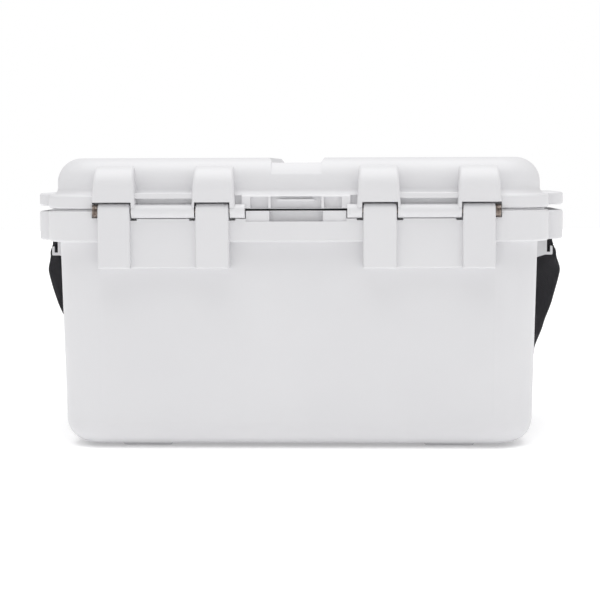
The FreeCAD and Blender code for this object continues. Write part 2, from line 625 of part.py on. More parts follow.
def lid_shell():
    """The outer skin of the lid with its bumps, knuckles, grip tabs and latch ears."""
    towers = [("knuckle_high", "bar_low"), ("bar_high", "notch_end")]
    clear = [
        block(f"tower_space_{number}", span, ("0 - beyond", "hinge_y + 9"), ("lid_low - 5", "bump_low"))
        for number, span in enumerate(towers)
    ]
    slot = block("bar_slot", ("bump_inner_high", "bump_outer_low"), ("0 - beyond", "bar_slot_wall"),
                 ("bar_slot_low", "bar_slot_high"))
    window = block("knuckle_window", ("window_near", "window_far"), ("0 - beyond", "bar_slot_wall"),
                   ("bar_slot_low", "window_high"))
    side_pocket = block("flange_pocket_side", ("side_near", "side_far"), ("0 - beyond", "side_wall"),
                        ("side_low", "side_high"))
    recess = block("latch_recess", ("latch_middle - latch_half - 0.5", "latch_middle + latch_half + 0.5"),
                   ("recess_y", "beyond"), ("lid_low - 5", "flange_high + 4"))
    pocket = block("flange_pocket", ("0 - middle_half", "middle_half"), ("0 - beyond", "middle_wall"),
                   ("middle_low", "middle_high"))
    ledge = block("bar_ledge", ("tower_inner_high - 1", "tower_outer_low + 1"), ("ledge_face", "tower_back"),
                  ("bar_slot_high", "ledge_high"))
    ledge = rounded("bar_ledge_round", ledge, 1,
                    lambda box: box.YMax < size("ledge_face + 0.1") and box.XLength > 1)
    tab = grip("tab", "tab_low", "tab_high")
    pockets = [pocket, *both_sides([slot, window, side_pocket, recess])]
    outside = without("lid_cleared", lid_outside(), pockets)
    extra = both_sides([
        bump("bump_inner", "bump_inner_low", "bump_inner_high"),
        bump("bump_outer", "bump_outer_low", "bump_outer_high"),
        ledge,
        tab,
        *latch_ears("latch_ear"),
    ])
    fin = block("pocket_fin", ("0 - fin_half", "fin_half"), ("fin_face", "middle_wall + 1"),
                ("fin_low", "fin_high"))
    body = without("lid_notched", joined("lid_solid", [outside, fin, *extra]), both_sides(clear))
    knuckles = both_sides([
        knuckle("knuckle", "knuckle_low", "knuckle_high"),
        knuckle("hinge_bar", "bar_low", "bar_high"),
    ])
    body = joined("lid_with_knuckles", [body, *knuckles])
    bores = [
        rod("knuckle_bore", "x", ("knuckle_low + 4", "knuckle_high + 0.3"), ("hinge_y", "hinge_z"),
            "pin_radius + pin_fit"),
        rod("bush_seat", "x", ("knuckle_high - 10", "knuckle_high + 0.3"), ("hinge_y", "hinge_z"),
            "bush_radius"),
        rod("bar_bore", "x", ("bar_low - 1", "bar_high + 1"), ("hinge_y", "hinge_z"), "bush_radius"),
        rod("latch_pin_bore", "x", ("latch_middle - latch_pin_half - 1", "latch_middle + latch_pin_half + 1"),
            ("latch_y", "latch_z"), "latch_pin + pin_fit"),
        grip_hollow("tab_hollow", "tab_low - 5", "tab_high - skin"),
    ]
    rear_end = channel_end()
    front_end = doc.addObject("Part::Mirroring", "channel_end_front")
    front_end.Source = rear_end
    front_end.Normal = Vector(0, 1, 0)
    channel = [top_channel(), rear_end, front_end]
    return without("lid_shell", body, [lid_core(), *channel, *both_sides(bores)])


def lid_liner():
    """The inner panel of the lid with a plug that stands inside the mouth of the tub."""
    body = doc.addObject("PartDesign::Body", "lid_liner")
    narrow = lean("lid_low", "plug_low")
    plan = (f"mouth_half_length - plug_gap - {narrow}", f"mouth_half_depth - plug_gap - {narrow}",
            "mouth_corner - plug_gap")
    slab(body, "plug", plan, "plug_low", "lid_low + 1", "liner_draft")
    round_body(body, "plug_edge", 4, level("plug_low"))
    slab(body, "panel", ("dome_half_length - skin - foam_gap", "lid_core_depth - foam_gap",
                         "dome_corner - skin"), "lid_low", "lid_low + skin")
    inner = "plug_gap + skin"
    hollow(body, "plug_space", (f"mouth_half_length - ({inner})", f"mouth_half_depth - ({inner})",
                                "mouth_corner - 5"), "lid_low + skin", "plug_low + skin", "liner_draft")
    return body


def lid_foam():
    """The foam inside the lid and its plug."""
    body = doc.addObject("PartDesign::Body", "lid_foam")
    inner = "plug_gap + skin + 1"
    slab(body, "foam_plug", (f"mouth_half_length - ({inner})", f"mouth_half_depth - ({inner})",
                             "mouth_corner - 7"), "plug_low + skin + foam_gap", "lid_low + skin + 2")
    plan = ("dome_half_length - skin - foam_gap", "lid_core_depth - foam_gap", "dome_corner - skin")
    slab(body, "foam_dome", plan, "lid_low + skin + foam_gap", "channel_floor - skin - foam_gap")
    round_body(body, "foam_dome_edge", "dome_edge - skin", level("channel_floor - skin - foam_gap"))
    return body


def lid_gasket():
    """The soft seal under the lid, round the plug."""
    body = doc.addObject("PartDesign::Body", "lid_gasket")
    slab(body, "seal", ("mouth_half_length + 4 + gasket_width", "mouth_half_depth + 4 + gasket_width",
                        "mouth_corner + 10"), "gasket_low", "lid_low")
    hollow(body, "seal_space", ("mouth_half_length + 4", "mouth_half_depth + 4", "mouth_corner + 4"),
           "lid_low", "gasket_low - 1")
    round_body(body, "seal_lip", 1, level("gasket_low"))
    return body


# ---- latches --------------------------------------------------------------------------------


def latch():
    """A snap latch: a plate on a barrel, with a hook that goes under the rib of the band."""
    span = ("latch_middle - latch_half", "latch_middle + latch_half")
    plate = block("latch_plate", span, ("latch_back", "latch_face"), ("latch_low", "latch_z"))
    plate = rounded("latch_plate_round", plate, 2,
                    lambda box: box.ZMin < size("latch_z - 1")
                    and (box.YMin > size("latch_face - 0.1") or box.YLength > 1))
    barrel = rod("latch_barrel", "x", span, ("latch_y", "latch_z"), "latch_barrel")
    hook_span = ("latch_middle - latch_half + 3", "latch_middle + latch_half - 3")
    hook = block("latch_hook", hook_span, ("recess_y + 0.6", "latch_back + 1"),
                 ("rib_low - 7", "rib_low - 0.6"))
    hook = rounded("latch_hook_round", hook, 1,
                   lambda box: box.YMax < size("recess_y + 0.7") and box.XLength > 1)
    dish = block("latch_dish", ("latch_middle - dish_half", "latch_middle + dish_half"),
                 ("latch_face - 1.2", "beyond"), ("dish_low", "dish_high"))
    dish = rounded("latch_dish_round", dish, 8,
                   lambda box: box.YLength > 1 and box.XLength < 0.01 and box.ZLength < 0.01)
    bore = rod("latch_bore", "x", (f"{span[0]} - 1", f"{span[1]} + 1"), ("latch_y", "latch_z"),
               "latch_pin + pin_fit")
    return without("latch_right", joined("latch_solid", [plate, barrel, hook]), [dish, bore])


def latch_pin():
    return rod("latch_pin_right", "x", ("latch_middle - latch_pin_half", "latch_middle + latch_pin_half"),
               ("latch_y", "latch_z"), "latch_pin")


# ---- strap ----------------------------------------------------------------------------------

# The middle line of the webbing: from the right grip down the side, along the front and up to the left.
STRAP = [
    (270, 0, 225.5), (273.8, 0.5, 204), (270.5, 3, 180), (264.5, 12, 150), (259.5, 38, 116),
    (258.5, 76, 86), (257, 122, 62), (236, 160, 46), (200, 182, 37), (160, 196.6, 33), (105, 206, 31),
    (50, 211.4, 31), (0, 213, 31), (-52, 211.3, 31), (-106, 205.9, 31), (-160, 196.6, 34), (-200, 182, 41),
    (-237, 157, 50), (-257.5, 118, 66), (-258, 72, 92), (-258.5, 34, 124), (-265, 10, 156),
    (-269.5, 3, 181), (-273.4, 0.5, 204), (-270, 0, 225.5),
]
SLIDER_RUN = 15


def strap_path():
    """Straight runs joined by tangent arcs, each arc as large as its two runs allow."""
    points = [Vector(*point) for point in STRAP]
    edges, start, radii = [], points[0], []
    for before, corner, after in zip(points, points[1:], points[2:]):
        back, on = (before - corner), (after - corner)
        shorter = min(back.Length, on.Length)
        back.normalize()
        on.normalize()
        turn = math.pi - back.getAngle(on)
        radii.append(0.45 * shorter / math.tan(turn / 2))
        first, last = corner + back * (0.45 * shorter), corner + on * (0.45 * shorter)
        inward = back + on
        inward.normalize()
        middle = corner + inward * (radii[-1] / math.cos(turn / 2) - radii[-1])
        edges.append(Part.LineSegment(start, first).toShape())
        edges.append(Part.Arc(first, middle, last).toShape())
        start = last
    edges.append(Part.LineSegment(start, points[-1]).toShape())
    print("strap radii", [round(radius) for radius in radii])
    return Part.Wire(edges)


def strap_tube(radius):
    """A round tube of the given radius along the strap."""
    path = strap_path()
    ring = Part.Wire(Part.makeCircle(radius, Vector(*STRAP[0]), path.Edges[0].tangentAt(0)))
    return path.makePipeShell([ring], True, True)


def shoulder_strap():
    """The webbing as one plain tube at its full length."""
    strap = doc.addObject("Part::Feature", "shoulder_strap")
    strap.Shape = strap_tube(size("strap_radius"))
    length = strap_path().Length
    print("strap length", round(length), "volume share",
          round(strap.Shape.Volume / (math.pi * size("strap_radius") ** 2 * length), 3))
    return strap


def strap_channel():
    """The space that the strap takes up in the pieces that it runs through."""
    channel = doc.addObject("Part::Feature", "strap_channel")
    channel.Shape = strap_tube(size("strap_radius") + 0.4)
    return channel


def shoulder_pad(channel):
    """The pad behind the webbing: a bowed slab that stands on its edge before the tub."""
    sector = 2 * math.degrees(math.asin(size("pad_half_length") / size("pad_bow")))
    rounds = []
    for name, place in (("pad_outer", "pad_face"), ("pad_inner", "pad_face - pad_thickness")):
        round_slab = doc.addObject("Part::Cylinder", name)
        bind(round_slab, "Radius", f"pad_bow + {place}")
        bind(round_slab, "Height", "pad_width")
        round_slab.Angle = sector
        round_slab.Placement = FreeCAD.Placement(
            Vector(0, size("pad_middle_y - pad_bow"), size("pad_low")),
            FreeCAD.Rotation(Vector(0, 0, 1), 90 - sector / 2),
        )
        rounds.append(round_slab)
    return without("shoulder_pad", rounds[0], [rounds[1], channel])


def strap_slider(channel):
    """The slider that sets the strap's length, on the run beside the pad."""
    low, high = Vector(*STRAP[SLIDER_RUN]), Vector(*STRAP[SLIDER_RUN + 1])
    along = high - low
    middle = (low + high) * 0.5
    slider = doc.addObject("Part::Box", "slider_block")
    bind(slider, "Length", "slider_length")
    bind(slider, "Width", "slider_thickness")
    bind(slider, "Height", "slider_width")
    turned = FreeCAD.Rotation(Vector(1, 0, 0), along)
    corner = Vector(size("slider_length"), size("slider_thickness"), size("slider_width")) * 0.5
    slider.Placement = FreeCAD.Placement(middle - turned.multVec(corner), turned)
    return without("strap_slider", slider, [channel])


# ---- all nodes ------------------------------------------------------------------------------


def make_nodes():
    """Every piece of the cooler; the left pieces mirror the right ones."""
    channel = strap_channel()
    pairs = [
        hinge_pin(), hinge_bushes(), strap_pin(), strap_bracket(), bracket_screws(), latch(), latch_pin(),
    ]
    lefts = [mirrored(piece.Name.replace("_right", "_left"), piece) for piece in pairs]
    single = [
        tub_shell(), tub_liner(), tub_foam(), lid_shell(), lid_liner(), lid_foam(), lid_gasket(),
        shoulder_strap(), shoulder_pad(channel), strap_slider(channel),
    ]
    return single + feet() + pairs + lefts


nodes = make_nodes()
doc.recompute()
failed = [thing.Name for thing in doc.Objects if "Invalid" in thing.State or "Error" in thing.State]
if failed:
    raise RuntimeError(f"these objects failed: {failed}")
for node in nodes:
    node.Label = node.Name
    if node.Shape.isNull() or not node.Shape.isValid():
        raise RuntimeError(f"{node.Label} has no valid shape")
os.makedirs("parts", exist_ok=True)
for node in nodes:
    node.Shape.exportStep(f"parts/{node.Label}.step")
    box = node.Shape.BoundBox
    print(f"{node.Label:24} solids {len(node.Shape.Solids)}  litres {node.Shape.Volume / 1e6:.4f}"
          f"  x {box.XMin:.1f} {box.XMax:.1f}  y {box.YMin:.1f} {box.YMax:.1f}  z {box.ZMin:.1f} {box.ZMax:.1f}")
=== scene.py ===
import bmesh
import bpy
import json
import math
from mathutils import Matrix, Vector


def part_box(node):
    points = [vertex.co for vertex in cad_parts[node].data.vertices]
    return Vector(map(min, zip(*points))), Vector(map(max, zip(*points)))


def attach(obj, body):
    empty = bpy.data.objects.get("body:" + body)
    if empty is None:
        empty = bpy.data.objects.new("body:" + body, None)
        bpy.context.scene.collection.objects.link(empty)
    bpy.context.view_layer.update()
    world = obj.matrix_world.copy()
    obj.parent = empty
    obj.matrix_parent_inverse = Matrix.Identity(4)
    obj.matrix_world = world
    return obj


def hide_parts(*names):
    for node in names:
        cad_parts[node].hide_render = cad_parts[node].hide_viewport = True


# The looks of a white hard cooler with a black shoulder strap. Everything is in metres, in the CAD
# frame: hinges towards -Y, latches towards +Y, X along the length, the ground at Z = 0.

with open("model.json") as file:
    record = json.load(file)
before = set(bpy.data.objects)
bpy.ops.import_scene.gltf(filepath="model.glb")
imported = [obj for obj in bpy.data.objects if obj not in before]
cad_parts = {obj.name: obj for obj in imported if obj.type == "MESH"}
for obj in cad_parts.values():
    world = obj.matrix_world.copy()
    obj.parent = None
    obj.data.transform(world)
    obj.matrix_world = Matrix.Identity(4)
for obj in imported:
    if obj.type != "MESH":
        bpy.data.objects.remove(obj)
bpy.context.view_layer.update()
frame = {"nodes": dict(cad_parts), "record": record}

MM = 0.001
WEBBING_WIDTH = 0.038
WEBBING_THICKNESS = 0.0024
LAYER_THICKNESS = 0.9 * WEBBING_THICKNESS
LOOP_GAP = 0.0002
PIN_RADIUS = 0.0030
# Where the webbing's free end starts and stops, measured from the middle of the slider.
TAIL_START = 0.004
TAIL_END = 0.085
# The sewn boxes: how far their middles are from the strap's ends or from the pad's middle, and their
# half lengths and half width.
GRIP_BOX_AT = 0.028
GRIP_BOX_HALF_LENGTH = 0.009
PAD_BOX_AT = 0.119
PAD_BOX_HALF_LENGTH = 0.008
BOX_HALF_WIDTH = 0.014
# The darker and lighter black. On the webbing and the pad's fabric they paint shade into the weave's
# hollows and light onto its crowns. On the thread they differ at random.
BLACK_LOW = (0.006, 0.006, 0.008)
BLACK_HIGH = (0.022, 0.020, 0.026)


# ---- camera ---------------------------------------------------------------------------------


def add_camera():
    """The hinge side seen from a little above, and slightly from the right."""
    data = bpy.data.cameras.new("camera")
    data.sensor_width = 36
    data.lens = 102
    camera = bpy.data.objects.new("camera", data)
    turn = Matrix.Rotation(math.radians(1.99), 4, "Z")
    tilt = Matrix.Rotation(math.radians(90 - 4.44), 4, "X")
    roll = Matrix.Rotation(math.radians(-0.2), 4, "Z")
    camera.matrix_world = Matrix.Translation((0.063, -1.875, 0.287)) @ turn @ tilt @ roll
    bpy.context.collection.objects.link(camera)
    bpy.context.scene.camera = camera


add_camera()


# ---- material helpers -----------------------------------------------------------------------


def new_material(name):
    """A material with its node tree and its Principled shader."""
    material = bpy.data.materials.new(name)
    material.use_nodes = True
    shader = material.node_tree.nodes["Principled BSDF"]
    return material, material.node_tree, shader


def node(tree, kind, **values):
    """A node with its properties, or its inputs by name, set."""
    made = tree.nodes.new(kind)
    for key, value in values.items():
        if key in made.inputs:
            made.inputs[key].default_value = value
        else:
            setattr(made, key, value)
    return made


def noise(tree, vector, scale, detail=2.0, roughness=0.5):
    made = node(tree, "ShaderNodeTexNoise")
    made.inputs["Scale"].default_value = scale
    made.inputs["Detail"].default_value = detail
    made.inputs["Roughness"].default_value = roughness
    tree.links.new(vector, made.inputs["Vector"])
    return made.outputs["Fac"]


def remap(tree, value, low, high, from_low=0.3, from_high=0.7):
    """A value carried from one range to another."""
    made = node(tree, "ShaderNodeMapRange")
    made.inputs["From Min"].default_value = from_low
    made.inputs["From Max"].default_value = from_high
    made.inputs["To Min"].default_value = low
    made.inputs["To Max"].default_value = high
    tree.links.new(value, made.inputs["Value"])
    return made.outputs["Result"]


def paint(tree, shader, factor, first, second):
    """Colours the shader with a mix of two colours."""
    made = node(tree, "ShaderNodeMix", data_type="RGBA")
    tree.links.new(factor, made.inputs["Factor"])
    made.inputs["A"].default_value = (*first, 1)
    made.inputs["B"].default_value = (*second, 1)
    tree.links.new(made.outputs["Result"], shader.inputs["Base Color"])


def bump(tree, height, distance, strength=1.0, below=None):
    made = node(tree, "ShaderNodeBump")
    made.inputs["Distance"].default_value = distance
    made.inputs["Strength"].default_value = strength
    tree.links.new(height, made.inputs["Height"])
    if below is not None:
        tree.links.new(below, made.inputs["Normal"])
    return made.outputs["Normal"]


def math_node(tree, operation, first, second=None):
    made = node(tree, "ShaderNodeMath", operation=operation)
    for socket, value in zip(made.inputs, (first, second)):
        if isinstance(value, (int, float)):
            socket.default_value = value
        elif value is not None:
            tree.links.new(value, socket)
    return made.outputs["Value"]


def place(tree):
    """The point on the surface, in metres, in the piece's own frame."""
    return node(tree, "ShaderNodeTexCoord").outputs["Object"]


def moulded_plastic(name, light, dark, rough, grain_depth, grain):
    """White plastic with the fine grain of its mould, cloudy gloss and faint scuffs."""
    material, tree, shader = new_material(name)
    at = place(tree)
    cloud = noise(tree, at, 9.0, 3.0)
    grains = noise(tree, at, grain, 2.0, 0.6)
    scuffs = noise(tree, at, 160.0, 4.0, 0.7)
    paint(tree, shader, remap(tree, cloud, 0.0, 1.0), light, dark)
    scuffed = math_node(tree, "ADD", remap(tree, cloud, rough - 0.03, rough + 0.04),
                        remap(tree, scuffs, 0.0, 0.09, 0.55, 0.8))
    tree.links.new(scuffed, shader.inputs["Roughness"])
    waves = bump(tree, cloud, 0.0006, 0.25)
    tree.links.new(bump(tree, grains, grain_depth, 0.6, waves), shader.inputs["Normal"])
    shader.inputs["IOR"].default_value = 1.49
    shader.inputs["Subsurface Weight"].default_value = 0.08
    shader.inputs["Subsurface Radius"].default_value = (0.004, 0.004, 0.0042)
    return material


def steel(name):
    """Stainless steel, turned, with fine lines round its axis and a few darker patches."""
    material, tree, shader = new_material(name)
    at = place(tree)
    stretched = node(tree, "ShaderNodeMapping")
    stretched.inputs["Scale"].default_value = (9000, 350, 350)
    tree.links.new(at, stretched.inputs["Vector"])
    lines = noise(tree, stretched.outputs["Vector"], 1.0, 3.0, 0.6)
    patches = noise(tree, at, 260.0, 2.0)
    paint(tree, shader, remap(tree, patches, 0.0, 1.0), (0.36, 0.31, 0.275), (0.09, 0.065, 0.055))
    tree.links.new(remap(tree, lines, 0.26, 0.42), shader.inputs["Roughness"])
    tree.links.new(bump(tree, lines, 0.00004, 0.5), shader.inputs["Normal"])
    shader.inputs["Metallic"].default_value = 1.0
    return material


def rubber(name, colour):
    """A soft grey seal with a dull skin."""
    material, tree, shader = new_material(name)
    at = place(tree)
    skin = noise(tree, at, 700.0, 3.0, 0.65)
    cloud = noise(tree, at, 40.0, 2.0)
    darker = tuple(0.8 * c for c in colour)
    paint(tree, shader, remap(tree, cloud, 0.0, 1.0), colour, darker)
    tree.links.new(remap(tree, skin, 0.6, 0.75), shader.inputs["Roughness"])
    tree.links.new(bump(tree, skin, 0.00008, 0.5), shader.inputs["Normal"])
    return material


def black_plastic(name):
    """Black acetal with a fine spark finish."""
    material, tree, shader = new_material(name)
    at = place(tree)
    grains = noise(tree, at, 1500.0, 2.0, 0.6)
    cloud = noise(tree, at, 60.0, 2.0)
    paint(tree, shader, remap(tree, cloud, 0.0, 1.0), (0.016, 0.016, 0.019), (0.024, 0.023, 0.027))
    tree.links.new(remap(tree, grains, 0.34, 0.46), shader.inputs["Roughness"])
    tree.links.new(bump(tree, grains, 0.00005, 0.6), shader.inputs["Normal"])
    return material


def foam(name):
    """Yellowish closed-cell foam."""
    material, tree, shader = new_material(name)
    at = place(tree)
    cells = node(tree, "ShaderNodeTexVoronoi")
    cells.inputs["Scale"].default_value = 900
    tree.links.new(at, cells.inputs["Vector"])
    paint(tree, shader, remap(tree, cells.outputs["Distance"], 0.0, 1.0, 0.1, 0.7),
          (0.80, 0.72, 0.50), (0.62, 0.53, 0.33))
    tree.links.new(bump(tree, cells.outputs["Distance"], 0.0003, 0.8), shader.inputs["Normal"])
    shader.inputs["Roughness"].default_value = 0.9
    return material


def weave(tree, across_pitch, along_pitch):
    """The height of a woven band's threads, from UVs that run across and along it in metres."""
    uv = node(tree, "ShaderNodeUVMap").outputs["UV"]
    parts = node(tree, "ShaderNodeSeparateXYZ")
    tree.links.new(uv, parts.inputs["Vector"])
    across = math_node(tree, "MULTIPLY", parts.outputs["X"], 2 * math.pi / across_pitch)
    along = math_node(tree, "MULTIPLY", parts.outputs["Y"], 2 * math.pi / along_pitch)
    wave = math_node(tree, "SINE", across)
    half_turn = math_node(tree, "MULTIPLY", math_node(tree, "SIGN", wave), math.pi / 2)
    over = math_node(tree, "SINE", math_node(tree, "ADD", along, half_turn))
    rib = math_node(tree, "ABSOLUTE", wave)
    return math_node(tree, "MULTIPLY", rib, math_node(tree, "MULTIPLY_ADD", over, 0.35))


def webbing(name, across_pitch, along_pitch):
    """Black nylon webbing with its ribs, the sheen of its filaments and a little lint. Its colour is
    painted lighter on the ribs' crowns and darker in the hollows between them: painted highlight and
    painted shade.
    """
    material, tree, shader = new_material(name)
    height = weave(tree, across_pitch, along_pitch)
    at = place(tree)
    fibres = noise(tree, at, 2600.0, 2.0, 0.7)
    dust = noise(tree, at, 55.0, 3.0)
    # Painted shade and highlight: the weave's hollows get the darker black and its crowns the
    # lighter one. The lint adds real lighter patches.
    painted_shade_and_lint = math_node(tree, "MULTIPLY", math_node(tree, "ADD", height, dust), 0.6)
    paint(tree, shader, remap(tree, painted_shade_and_lint, 0.0, 1.0, 0.2, 0.9), BLACK_LOW, BLACK_HIGH)
    tree.links.new(remap(tree, fibres, 0.40, 0.62), shader.inputs["Roughness"])
    ribs = bump(tree, height, 0.0007, 0.9)
    tree.links.new(bump(tree, fibres, 0.00008, 0.5, ribs), shader.inputs["Normal"])
    shader.inputs["Sheen Weight"].default_value = 0.08
    shader.inputs["Sheen Roughness"].default_value = 0.45
    shader.inputs["Sheen Tint"].default_value = (0.75, 0.72, 0.85, 1)
    return material


def thread(name):
    """Black bonded thread: three twisted strands with the sheen of their filaments."""
    material, tree, shader = new_material(name)
    at = place(tree)
    strands = node(tree, "ShaderNodeTexWave", bands_direction="DIAGONAL")
    strands.inputs["Scale"].default_value = 700.0
    strands.inputs["Distortion"].default_value = 1.5
    tree.links.new(at, strands.inputs["Vector"])
    filaments = noise(tree, at, 5000.0, 2.0, 0.7)
    paint(tree, shader, remap(tree, filaments, 0.0, 1.0), BLACK_LOW, (0.032, 0.030, 0.036))
    tree.links.new(remap(tree, filaments, 0.30, 0.45), shader.inputs["Roughness"])
    tree.links.new(bump(tree, strands.outputs["Fac"], 0.00012, 0.8), shader.inputs["Normal"])
    return material


def pad_fabric(name):
    """Black ballistic nylon over the pad: a coarse basket weave, with creases. The weave's crowns
    are painted lighter and its hollows darker: painted highlight and painted shade.
    """
    material, tree, shader = new_material(name)
    per_metre = 2 * math.pi / 0.0015
    at = place(tree)
    parts = node(tree, "ShaderNodeSeparateXYZ")
    tree.links.new(at, parts.inputs["Vector"])
    waves = [math_node(tree, "SINE", math_node(tree, "MULTIPLY", parts.outputs[axis], per_metre))
             for axis in "XZ"]
    basket = math_node(tree, "MULTIPLY", *waves)
    creases = noise(tree, at, 90.0, 4.0, 0.6)
    fibres = noise(tree, at, 2400.0, 2.0, 0.7)
    # Painted shade and highlight: the colour follows the weave's height, darker in its hollows and
    # lighter on its crowns.
    paint(tree, shader, remap(tree, basket, 0.0, 1.0, -0.8, 0.8), BLACK_LOW, BLACK_HIGH)
    tree.links.new(remap(tree, fibres, 0.55, 0.78), shader.inputs["Roughness"])
    folds = bump(tree, creases, 0.0012, 0.35)
    tree.links.new(bump(tree, basket, 0.00022, 0.8, folds), shader.inputs["Normal"])
    shader.inputs["Sheen Weight"].default_value = 0.10
    shader.inputs["Sheen Roughness"].default_value = 0.5
    return material


SHELL = moulded_plastic("shell_white", (0.745, 0.742, 0.756), (0.725, 0.722, 0.738),
                        rough=0.42, grain_depth=0.00009, grain=1100.0)
LINER = moulded_plastic("liner_white", (0.83, 0.83, 0.84), (0.80, 0.80, 0.812),
                        rough=0.28, grain_depth=0.00003, grain=700.0)
TRIM = moulded_plastic("trim_white", (0.77, 0.768, 0.78), (0.75, 0.748, 0.76),
                       rough=0.36, grain_depth=0.00005, grain=1400.0)
STEEL = steel("stainless_steel")
WEBBING = webbing("strap_webbing", 0.0021, 0.0026)
THREAD = thread("strap_thread")
PAD_FABRIC = pad_fabric("pad_fabric")
BLACK_PLASTIC = black_plastic("black_acetal")
FINISHES = {
    "white_shell": SHELL,
    "white_liner": LINER,
    "white_trim": TRIM,
    "white_latch": TRIM,
    "white_feet": SHELL,
    "foam": foam("foam_core"),
    "gasket": rubber("seal_rubber", (0.50, 0.51, 0.53)),
    "steel": STEEL,
    "bush_plastic": BLACK_PLASTIC,
    "webbing": WEBBING,
    "pad_cover": PAD_FABRIC,
    "black_plastic": BLACK_PLASTIC,
}


def finish_cad_nodes():
    """Gives every CAD node the material of its slot."""
    for part in frame["record"]["subparts"]:
        slots = frame["nodes"][part["node"]].data.materials
        slots.clear()
        slots.append(FINISHES[part["material_slot"]])


finish_cad_nodes()


# ---- strap ----------------------------------------------------------------------------------

# The strap's middle line: from the right grip, down the side, along the front, up to the left grip.
STRAP = [
    (270, 0, 225.5), (273.8, 0.5, 204), (270.5, 3, 180), (264.5, 12, 150), (259.5, 38, 116),
    (258.5, 76, 86), (257, 122, 62), (236, 160, 46), (200, 182, 37), (160, 196.6, 33),
    (105, 206, 31), (50, 211.4, 31), (0, 213, 31), (-52, 211.3, 31), (-106, 205.9, 31),
    (-160, 196.6, 34), (-200, 182, 41), (-237, 157, 50), (-257.5, 118, 66), (-258, 72, 92),
    (-258.5, 34, 124), (-265, 10, 156), (-269.5, 3, 181), (-273.4, 0.5, 204), (-270, 0, 225.5),
]
# The strap's outer face points away from this inner part of the tub: half its length and depth.
CORE_HALF_LENGTH = 0.170
CORE_HALF_DEPTH = 0.060
# How far the slack webbing twists towards the latches below its brackets, as (height, degrees), and
# how much of that it does on the left.
TWIST = [(0.060, 0), (0.092, 8), (0.125, 28), (0.150, 40), (0.178, 43), (0.196, 14), (0.206, 0)]
LEFT_TWIST = 0.75


def smooth_line(points):
    """Points along the smooth curve that has these points as its control points."""
    curve = bpy.data.curves.new("route", "CURVE")
    curve.dimensions = "3D"
    spline = curve.splines.new("NURBS")
    spline.points.add(len(points) - 1)
    for target, point in zip(spline.points, points):
        target.co = (*(MM * value for value in point), 1)
    spline.order_u = 3
    spline.use_endpoint_u = True
    spline.resolution_u = 14
    bare = bpy.data.objects.new("route", curve)
    mesh = bpy.data.meshes.new_from_object(bare)
    line = [vertex.co.copy() for vertex in mesh.vertices]
    bpy.data.meshes.remove(mesh)
    bpy.data.objects.remove(bare)
    bpy.data.curves.remove(curve)
    return line


def twist_at(height):
    """The twist of the webbing at a height, in radians."""
    degrees = 0.0
    for (low, before), (high, after) in zip(TWIST, TWIST[1:]):
        if low <= height <= high:
            share = (height - low) / (high - low)
            degrees = before + (after - before) * share * share * (3 - 2 * share)
    return math.radians(degrees)


def outward(point):
    """The direction that the webbing's outer face points: away from the tub, with the twist."""
    beyond_x = max(abs(point.x) - CORE_HALF_LENGTH, 0)
    beyond_y = max(abs(point.y) - CORE_HALF_DEPTH, 0)
    away = Vector((math.copysign(beyond_x, point.x), math.copysign(beyond_y, point.y), 0))
    twist = twist_at(point.z) if point.x > 0 else -LEFT_TWIST * twist_at(point.z)
    return Matrix.Rotation(twist, 3, "Z") @ away.normalized()


def band_section(width, thickness, steps=4):
    """The outline of a band: flat faces and rounded edges, as (across, out) pairs."""
    radius = thickness / 2
    flat = width / 2 - radius
    angles = [math.pi * step / steps for step in range(steps + 1)]
    right = [(flat + radius * math.sin(angle), radius * math.cos(angle)) for angle in angles]
    below = [(share * flat, -radius) for share in (0.5, 0.0, -0.5)]
    left = [(-across, -out) for across, out in right]
    above = [(-across, -out) for across, out in below]
    return right + below + left + above


def frames_along(line, facing):
    """For each point of a line: the point, and its directions along, across and out."""
    frames = []
    for index, point in enumerate(line):
        before, after = line[max(index - 1, 0)], line[min(index + 1, len(line) - 1)]
        tangent = (after - before).normalized()
        across = tangent.cross(facing(point)).normalized()
        frames.append((point, tangent, across, across.cross(tangent).normalized()))
    return frames


def add_mesh(name, mesh, material):
    """Turns a bmesh into a smooth-shaded piece."""
    bmesh.ops.recalc_face_normals(mesh, faces=mesh.faces)
    for face in mesh.faces:
        face.smooth = True
    data = bpy.data.meshes.new(name)
    mesh.to_mesh(data)
    mesh.free()
    data.materials.append(material)
    piece = bpy.data.objects.new(name, data)
    bpy.context.collection.objects.link(piece)
    return piece


def sweep_band(name, frames, width, thickness):
    """A woven band through the frames; its UVs run across and along it in metres."""
    outline = band_section(width, thickness)
    count = len(outline)
    perimeter = [0.0]
    for first, second in zip(outline, outline[1:] + outline[:1]):
        perimeter.append(perimeter[-1] + math.dist(first, second))
    mesh = bmesh.new()
    uv = mesh.loops.layers.uv.new("UVMap")
    rings = [[mesh.verts.new(point + across * a + out * o) for a, o in outline]
             for point, tangent, across, out in frames]
    along = [0.0]
    for first, second in zip(frames, frames[1:]):
        along.append(along[-1] + (second[0] - first[0]).length)
    for index in range(len(rings) - 1):
        for k in range(count):
            after = (k + 1) % count
            face = mesh.faces.new([rings[index][k], rings[index][after], rings[index + 1][after],
                                   rings[index + 1][k]])
            places = [(perimeter[k], along[index]), (perimeter[k + 1], along[index]),
                      (perimeter[k + 1], along[index + 1]), (perimeter[k], along[index + 1])]
            for loop, spot in zip(face.loops, places):
                loop[uv].uv = spot
    mesh.faces.new(rings[0])
    mesh.faces.new(rings[-1])
    return add_mesh(name, mesh, WEBBING)


